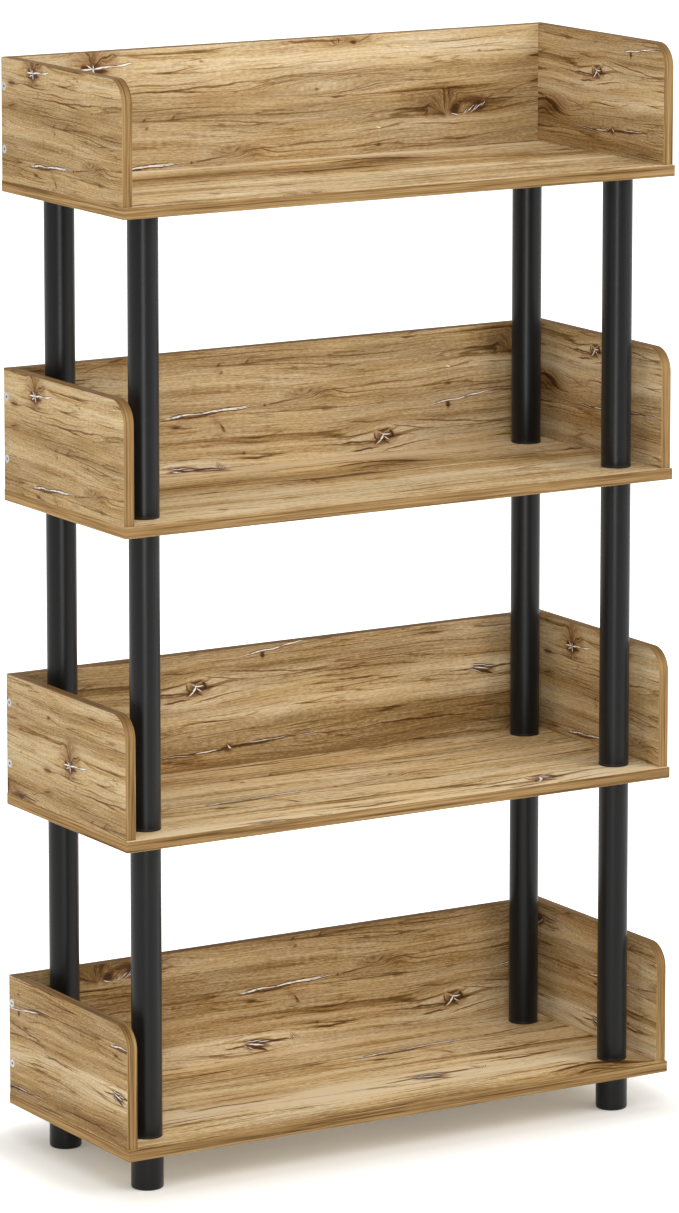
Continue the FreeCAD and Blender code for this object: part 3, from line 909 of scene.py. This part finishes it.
class EdgeBand(ShaderGroup):
    """The plain banding on the edges: straight stripes along the edge, darker than the faces."""

    name = "Edge band"
    inputs = {"Position": Kind.VECTOR, "Stretch": Kind.VECTOR}
    outputs = {"Color": Kind.COLOUR}

    # Noises: finer layers, how rough, which noise; and how much finer and weaker the second is
    STRIPES = (3.0, 0.65, 2.5)
    FINE = (2.0, 0.6, 8.5)
    FINER = (3.1, 3.1, 3.1)
    FINE_WEIGHT = 0.6
    TONES = (
        (0.35, srgb(181, 148, 102)), (0.46, srgb(162, 129, 84)), (0.56, srgb(141, 109, 67)),
        (0.66, srgb(102, 75, 43)),
    )

    def build(self, graph: Graph, given: dict[str, Socket]) -> dict[str, Value]:
        """Noise that is fine across the edge and long along it."""
        place = graph.vector("MULTIPLY", given["Position"], given["Stretch"])
        stripes = graph.noise(place, *self.STRIPES)
        fine = graph.noise(graph.vector("MULTIPLY", place, self.FINER), *self.FINE)
        return {"Color": graph.ramp(graph.sway(fine, self.FINE_WEIGHT, stripes), self.TONES)}


# How a panel's lot differs in hue from the sheet
COOL_CAST: Colour = (0.965, 1.0, 1.075)
WARM_CAST: Colour = (1.02, 1.0, 0.95)


@dataclass(frozen=True)
class Cut:
    """Where a panel is cut from the printed sheet, and how large the print is on it.

    across and down are the distances, in millimetres, from the panel's upper left corner as it is seen
    from the front or the left to the dot at the end of the filled crack. contrast and cast say how the
    panel's lot differs from the sheet; darker is partly the lot's tone and partly painted light and shade.
    """

    across: float
    down: float
    scale_across: float = 1.0
    scale_down: float = 1.0
    darker: float = 0.0
    contrast: float = 1.18
    cast: Colour = WHITE


class PanelKind(Enum):
    """How a panel lies: its grain's axis, the axis across it, its thin axis, and the turn of its print."""

    BOARD = (0, 1, 2, (180.0, 0.0, 0.0))
    BACK = (0, 2, 1, (90.0, 0.0, 0.0))
    SIDE = (1, 2, 0, (90.0, -90.0, 0.0))


@dataclass(frozen=True)
class LaminateFinish:
    """The matt laminate's sheen and relief."""

    roughness_low: float = 0.50
    roughness_high: float = 0.66
    specular: float = 0.16
    stripes_along: float = 5.0
    stripes_across: float = 420.0
    edge_specular: float = 0.05
    # Painted light and shade on the edge band: edges that face up darken towards umber, edges that face the
    # side lighten and edges that face the front darken
    top_edge_painted_shade: float = 0.58
    side_edge_painted_light: float = 1.13
    front_edge_painted_shade: float = 0.80
    pore_length: float = 30.0
    pore_width: float = 0.9
    relief: float = 0.12
    relief_depth: float = 0.0002
    face_limit: float = 0.75


@dataclass
class Laminate:
    """The oak-look boards and panels."""

    # How far beyond a panel its marks are looked for, in millimetres on the sheet
    MARGIN = 20
    RIGHT_MARGIN = 5
    # How steeply an edge faces up where its painted shade starts and is whole
    UPWARD = (0.2, 0.95)
    # The pores' finer layers and how rough they are, and the range of their noise
    PORES = (1.0, 0.6)
    PORES_RANGE = (0.2, 0.8)

    finish: LaminateFinish = LaminateFinish()
    # Each cut's darker is partly its lot's tone and partly painted light and shade, set to each panel's
    # brightness under the lamps: the three lower boards are lightened as painted light against the shade of
    # the boards above, and the two lower backs darkened as painted shade in the lower trays
    boards: tuple[Cut, ...] = (
        Cut(545, 58, 1.4, 1.7, -0.24, 2.1, WARM_CAST), Cut(300, 142, 1.4, 1.7, -0.26, 2.1, WARM_CAST),
        Cut(371, -107, 1.4, 1.7, -0.28, 2.1, WARM_CAST), Cut(371, -121, 1.4, 1.7, -0.09, 2.0),
    )
    backs: tuple[Cut, ...] = (
        Cut(388, 52, darker=0.13, cast=COOL_CAST), Cut(62, -8, darker=0.12, cast=COOL_CAST),
        Cut(297, 65, darker=0.03, cast=COOL_CAST), Cut(208, 124, darker=0.01, cast=COOL_CAST),
    )
    lefts: tuple[Cut, ...] = (
        Cut(317, 21, 0.77, 0.87, 0.09), Cut(229, 165, 0.77, 0.87, 0.04),
        Cut(155, 113, 0.73, 0.87, 0.05), Cut(155, 103, 0.73, 0.87, 0.08),
    )
    rights: tuple[Cut, ...] = (
        Cut(210, 56, 0.77, 0.87, 0.05, cast=COOL_CAST), Cut(165, 118, 0.77, 0.87, 0.05, cast=COOL_CAST),
        Cut(-2, -22, 0.79, 0.87, 0.04, cast=COOL_CAST), Cut(-2, 1, 0.79, 0.87, 0.08, cast=COOL_CAST),
    )

    def material(self, node: str, corner: Vector, kind: PanelKind, cut: Cut) -> bpy.types.Material:
        """The material of one panel.

        Args:
            node: The panel's node.
            corner: The panel's upper left corner, in metres.
            kind: How the panel lies.
            cut: Where it is cut from the sheet.

        Returns:
            The material.
        """
        finish = self.finish
        made, graph, shader, here = start_material(f"oak_{node}")
        along, down, thin, turn = kind.value
        scale = Vector((1.0, 1.0, 1.0)) / MILLIMETRE
        scale[along] /= cut.scale_across
        scale[down] /= cut.scale_down
        rotation = Euler(math.radians(angle) for angle in turn)
        origin = rotation.to_matrix() @ (corner * scale)
        start = Vector((cut.across / cut.scale_across, cut.down / cut.scale_down, 0.0))
        mapping = graph.fill(graph.node("Mapping", vector_type="POINT"), {
            "Vector": here.outputs["Object"], "Location": -origin - start, "Rotation": rotation,
            "Scale": scale,
        })
        low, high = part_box(node)
        length = (high - low)[along] / MILLIMETRE / cut.scale_across
        height = (high - low)[down] / MILLIMETRE / cut.scale_down
        window = Window(
            -start.x - self.MARGIN, length - start.x + self.RIGHT_MARGIN,
            -start.y - self.MARGIN, height - start.y + self.MARGIN,
        )
        colour = self.printer.paint(graph, mapping.outputs[0], window, cut.darker, cut.contrast, cut.cast)
        stretch = [finish.stripes_along] * 3
        stretch[thin] = finish.stripes_across
        band = graph.group(self.band.tree, Position=here.outputs["Object"], Stretch=stretch)
        normal = graph.separate(here.outputs["Normal"])
        is_face = graph.math("GREATER_THAN", graph.math("ABSOLUTE", normal[thin]), finish.face_limit)
        # Painted light and shade on the edges: upward edges darken towards umber, side edges are lightened
        # and front edges darkened
        painted_top_shade = graph.rescale(normal[2], *self.UPWARD, 0.0, finish.top_edge_painted_shade)
        painted_edge_gains = (finish.side_edge_painted_light, finish.front_edge_painted_shade)
        painted_edge_gain = graph.rescale(graph.math("ABSOLUTE", normal[1]), 0.0, 1.0, *painted_edge_gains, smooth=False)
        painted_lit_band = graph.mix(1.0, band.outputs["Color"], graph.combine(painted_edge_gain, painted_edge_gain, painted_edge_gain), "MULTIPLY")
        shown = graph.mix(is_face, graph.mix(painted_top_shade, painted_lit_band, OAK.umber), colour)
        combed = graph.fill(graph.node("Mapping", vector_type="POINT"), {
            "Vector": mapping.outputs[0], "Scale": (1 / finish.pore_length, 1 / finish.pore_width, 0.0),
        })
        pores = graph.noise(combed.outputs[0], *self.PORES)
        rough = graph.rescale(pores, *self.PORES_RANGE, finish.roughness_low, finish.roughness_high)
        gloss = graph.rescale(is_face, 0.0, 1.0, finish.edge_specular, finish.specular, smooth=False)
        graph.fill(shader, {"Base Color": shown, "Roughness": rough, "Specular IOR Level": gloss})
        emboss(graph, shader, pores, finish.relief, finish.relief_depth)
        return made

    def dress(self) -> None:
        """Gives every board and panel its own cut of the print."""
        self.printer = OakPrinter()
        self.band = EdgeBand()
        inner_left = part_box("left_panel_1")[1].x
        back_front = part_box("back_panel_1")[0].y
        for tier in range(TIERS):
            number = tier + 1
            board_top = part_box(f"shelf_board_{number}")[1].z
            panel_low, panel_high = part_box(f"left_panel_{number}")
            rows = (
                ("shelf_board", (inner_left, back_front, board_top), PanelKind.BOARD, self.boards),
                ("back_panel", (inner_left, back_front, panel_high.z), PanelKind.BACK, self.backs),
                ("left_panel", (panel_low.x, panel_high.y, panel_high.z), PanelKind.SIDE, self.lefts),
                ("right_panel", (-panel_high.x, back_front, panel_high.z), PanelKind.SIDE, self.rights),
            )
            for name, corner, kind, cuts in rows:
                node = f"{name}_{number}"
                assign(node, self.material(node, Vector(corner), kind, cuts[tier]))


def assign(node: str, material: bpy.types.Material) -> None:
    """Puts a material in a CAD node's slot.

    Args:
        node: The CAD node's name.
        material: The material.
    """
    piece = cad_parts[node]
    piece.data.materials.clear()
    piece.data.materials.append(material)
    log.info("%s: %s", node, material.name)


# Plastic and metal


@dataclass(frozen=True)
class SmoothFinish:
    """A moulded, drawn or plated surface."""

    name: str
    base: Colour
    roughness_low: float
    roughness_high: float
    specular: float = 0.5
    grain_size: float = 0.0006
    relief: float = 0.04
    # How far the base colour lifts towards white where the surface turns away from the view: a painted sheen
    # at the rims
    rim: float = 0.0
    metallic: float = 0.0


class Sheen(ShaderGroup):
    """A faint change of sheen over a moulded or drawn surface, and its fine grain."""

    name = "Sheen"
    inputs = {"Position": Kind.VECTOR, "Grain Size": Kind.NUMBER, "Low": Kind.NUMBER, "High": Kind.NUMBER}
    outputs = {"Roughness": Kind.NUMBER, "Relief": Kind.NUMBER}

    # How often the patches repeat in a metre; and of the noises the finer layers, how rough, which noise
    PATCHES = (90.0, 90.0, 9.0)
    PATCH_NOISE = (2.0, 0.5, 1.7)
    PATCH_RANGE = (0.3, 0.7)
    GRAIN_NOISE = (2.0, 0.5)

    def build(self, graph: Graph, given: dict[str, Socket]) -> dict[str, Value]:
        """Slow patches for the sheen and quick ones for the grain."""
        slow = graph.noise(graph.vector("MULTIPLY", given["Position"], self.PATCHES), *self.PATCH_NOISE)
        share = graph.rescale(slow, *self.PATCH_RANGE)
        spread = graph.math("SUBTRACT", given["High"], given["Low"])
        rough = graph.math("MULTIPLY_ADD", share, spread, given["Low"])
        size = graph.combine(given["Grain Size"], given["Grain Size"], given["Grain Size"])
        fine = graph.noise(graph.vector("DIVIDE", given["Position"], size), *self.GRAIN_NOISE)
        return {"Roughness": rough, "Relief": fine}


@dataclass
class Hardware:
    """The tubes, plugs, anchors, feet and screws."""

    tube: SmoothFinish = SmoothFinish("tube_black", (0.0012, 0.0013, 0.0015), 0.30, 0.34, 0.20, rim=0.03)
    plug: SmoothFinish = SmoothFinish("plug_black", (0.012, 0.012, 0.013), 0.42, 0.50, 0.25)
    foot: SmoothFinish = SmoothFinish("foot_black", (0.0024, 0.0024, 0.0027), 0.32, 0.38, 0.22, rim=0.02)
    zinc: SmoothFinish = SmoothFinish(
        "screw_zinc", (0.55, 0.55, 0.54), 0.30, 0.42, grain_size=0.001, relief=0.0, metallic=1.0,
    )

    # The relief's depth as a share of its grain's size
    RELIEF_DEPTH = 0.25

    def material(self, finish: SmoothFinish, sheen: ShaderGroup) -> bpy.types.Material:
        """The material of one finish.

        Args:
            finish: The finish.
            sheen: The group for its change of sheen.

        Returns:
            The material.
        """
        made, graph, shader, here = start_material(finish.name)
        patches = graph.group(
            sheen.tree, Position=here.outputs["Object"], Grain_Size=finish.grain_size,
            Low=finish.roughness_low, High=finish.roughness_high,
        )
        colour: Value = finish.base
        # Painted sheen: the base colour lifts towards white at the rims, where the surface turns away from
        # the view
        if finish.rim:
            lift = graph.math("MULTIPLY", graph.node("LayerWeight").outputs["Facing"], finish.rim)
            colour = graph.mix(lift, finish.base, WHITE)
        graph.fill(shader, {
            "Base Color": colour, "Metallic": finish.metallic, "Roughness": patches.outputs["Roughness"],
            "Specular IOR Level": finish.specular,
        })
        if finish.relief:
            depth = finish.grain_size * self.RELIEF_DEPTH
            emboss(graph, shader, patches.outputs["Relief"], finish.relief, depth)
        return made

    def dress(self) -> None:
        """Gives the tubes, plugs, anchors, feet and screws their finish."""
        sheen = Sheen()
        finishes = (self.tube, self.plug, self.foot, self.zinc)
        tube, plug, foot, zinc = (self.material(finish, sheen) for finish in finishes)
        for number in range(1, TIERS):
            for corner in CORNERS:
                assign(f"tube_{corner}_{number}", tube)
            assign(f"stud_plugs_{number}", plug)
            assign(f"socket_plugs_{number}", plug)
        for corner in CORNERS:
            assign(f"foot_{corner}", foot)
        assign("top_anchors", plug)
        for number in range(1, TIERS + 1):
            assign(f"side_screws_{number}", zinc)
            assign(f"base_screws_{number}", zinc)


# The studio


@dataclass(frozen=True)
class Lamp:
    """A square lamp that faces a point."""

    name: str
    place: Place
    target: Place
    size: float
    power: float


@dataclass
class Studio:
    """The pale floor, the soft lamps, the bright room and the camera."""

    camera_place: Place = (-3.31993, -5.49080, 1.86080)
    camera_yaw: float = -31.14
    camera_pitch: float = -9.131
    lens: float = 183.06
    shift: float = -0.2
    sensor: float = 36.0
    floor_half: float = 12.0
    floor_colour: Colour = (0.92, 0.915, 0.90)
    near_glow: Colour = (0.14, 0.137, 0.122)
    near_floor: float = 0.0
    far_floor: float = 0.12
    mirrored_floor: float = 0.5
    room: float = 0.46
    lamps: tuple[Lamp, ...] = (
        Lamp("key", (-1.75, -3.4, 3.6), (0.0, 0.0, 0.6), 2.0, 66.0),
        Lamp("right", (2.2, -3.2, 3.0), (0.0, 0.0, 0.6), 2.0, 65.0),
        Lamp("right low", (2.8, -2.6, 1.5), (0.0, 0.0, 0.6), 1.6, 16.0),
        Lamp("left", (-3.4, -0.4, 1.9), (0.0, 0.0, 0.6), 1.6, 19.0),
        Lamp("top", (0.0, 0.0, 3.6), (0.0, 0.0, 0.6), 2.0, 19.0),
        Lamp("strip", (-1.55, -2.57, 0.45), (0.0, 0.0, 0.6), 0.85, 20.0),
    )

    def floor(self) -> None:
        """A pale floor that shows white to the camera but keeps the shadow under the shelf."""
        foot_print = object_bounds()[1]
        shape = bmesh.new()
        bmesh.ops.create_grid(shape, x_segments=1, y_segments=1, size=self.floor_half)
        mesh = bpy.data.meshes.new("floor")
        shape.to_mesh(mesh)
        shape.free()
        piece = bpy.data.objects.new("floor", mesh)
        bpy.context.scene.collection.objects.link(piece)
        mesh.materials.append(self.floor_material(foot_print))
        piece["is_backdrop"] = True

    def floor_material(self, foot_print: Vector) -> bpy.types.Material:
        """The floor's white, part of it its own light where the camera or a reflection sees it.

        Args:
            foot_print: How far the shelf reaches from the middle of the floor.

        Returns:
            The material.
        """
        made = bpy.data.materials.new("floor_white")
        made.use_nodes = True
        made.node_tree.nodes.clear()
        graph = Graph(made.node_tree)
        path, seen = directly_seen(graph)
        matt = graph.fill(graph.node("BsdfDiffuse"), {"Color": self.floor_colour})
        place = graph.vector("ABSOLUTE", graph.node("TexCoord").outputs["Object"])
        beyond = graph.vector("SUBTRACT", place, (foot_print.x, foot_print.y, 0.0))
        beyond = graph.vector("LENGTH", graph.vector("MAXIMUM", beyond, (0.0, 0.0, 0.0)))
        mirrored, direct = path.outputs["Is Glossy Ray"], path.outputs["Is Camera Ray"]
        shown = graph.math("MULTIPLY_ADD", mirrored, self.mirrored_floor, direct)
        far = graph.math("MULTIPLY", graph.rescale(beyond, self.near_floor, self.far_floor), shown)
        white = graph.mix(far, self.near_glow, WHITE)
        glow = graph.fill(graph.node("Emission"), {"Color": white, "Strength": seen})
        both = graph.fill(graph.node("AddShader"), {0: matt.outputs[0], 1: glow.outputs[0]})
        graph.fill(graph.node("OutputMaterial"), {"Surface": both.outputs[0]})
        return made

    def room_light(self) -> None:
        """An even room, white where the camera or a reflection looks past the floor."""
        world = bpy.data.worlds.new("room")
        bpy.context.scene.world = world
        world.use_nodes = True
        world.node_tree.nodes.clear()
        graph = Graph(world.node_tree)
        _, seen = directly_seen(graph)
        strength = graph.rescale(seen, 0.0, 1.0, self.room, 1.0, smooth=False)
        background = graph.fill(graph.node("Background"), {"Color": WHITE, "Strength": strength})
        graph.fill(graph.node("OutputWorld"), {"Surface": background.outputs[0]})

    def light(self) -> None:
        """Hangs the lamps."""
        for lamp in self.lamps:
            data = bpy.data.lights.new(lamp.name, "AREA")
            data.shape = "SQUARE"
            data.size = lamp.size
            data.energy = lamp.power
            piece = bpy.data.objects.new(lamp.name, data)
            bpy.context.scene.collection.objects.link(piece)
            piece.location = lamp.place
            towards = Vector(lamp.target) - Vector(lamp.place)
            piece.rotation_euler = towards.to_track_quat("-Z", "Y").to_euler()

    def camera(self) -> None:
        """Sets up the camera at the photograph's viewing angle."""
        data = bpy.data.cameras.new("camera")
        data.sensor_width = self.sensor
        data.lens = self.lens
        data.shift_y = self.shift
        piece = bpy.data.objects.new("camera", data)
        bpy.context.scene.collection.objects.link(piece)
        piece.location = self.camera_place
        piece.rotation_euler = (math.radians(90 + self.camera_pitch), 0.0, math.radians(self.camera_yaw))
        bpy.context.scene.camera = piece

    def build(self) -> None:
        """Sets the whole studio up."""
        bpy.context.scene.view_settings.view_transform = "Standard"
        self.floor()
        self.room_light()
        self.light()
        self.camera()


def main() -> None:
    """Dresses the shelf and sets up the studio."""
    logging.basicConfig(level=logging.INFO, format="%(name)s: %(message)s")
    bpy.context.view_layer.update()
    Laminate().dress()
    Hardware().dress()
    Studio().build()


if __name__ == "__main__":
    main()
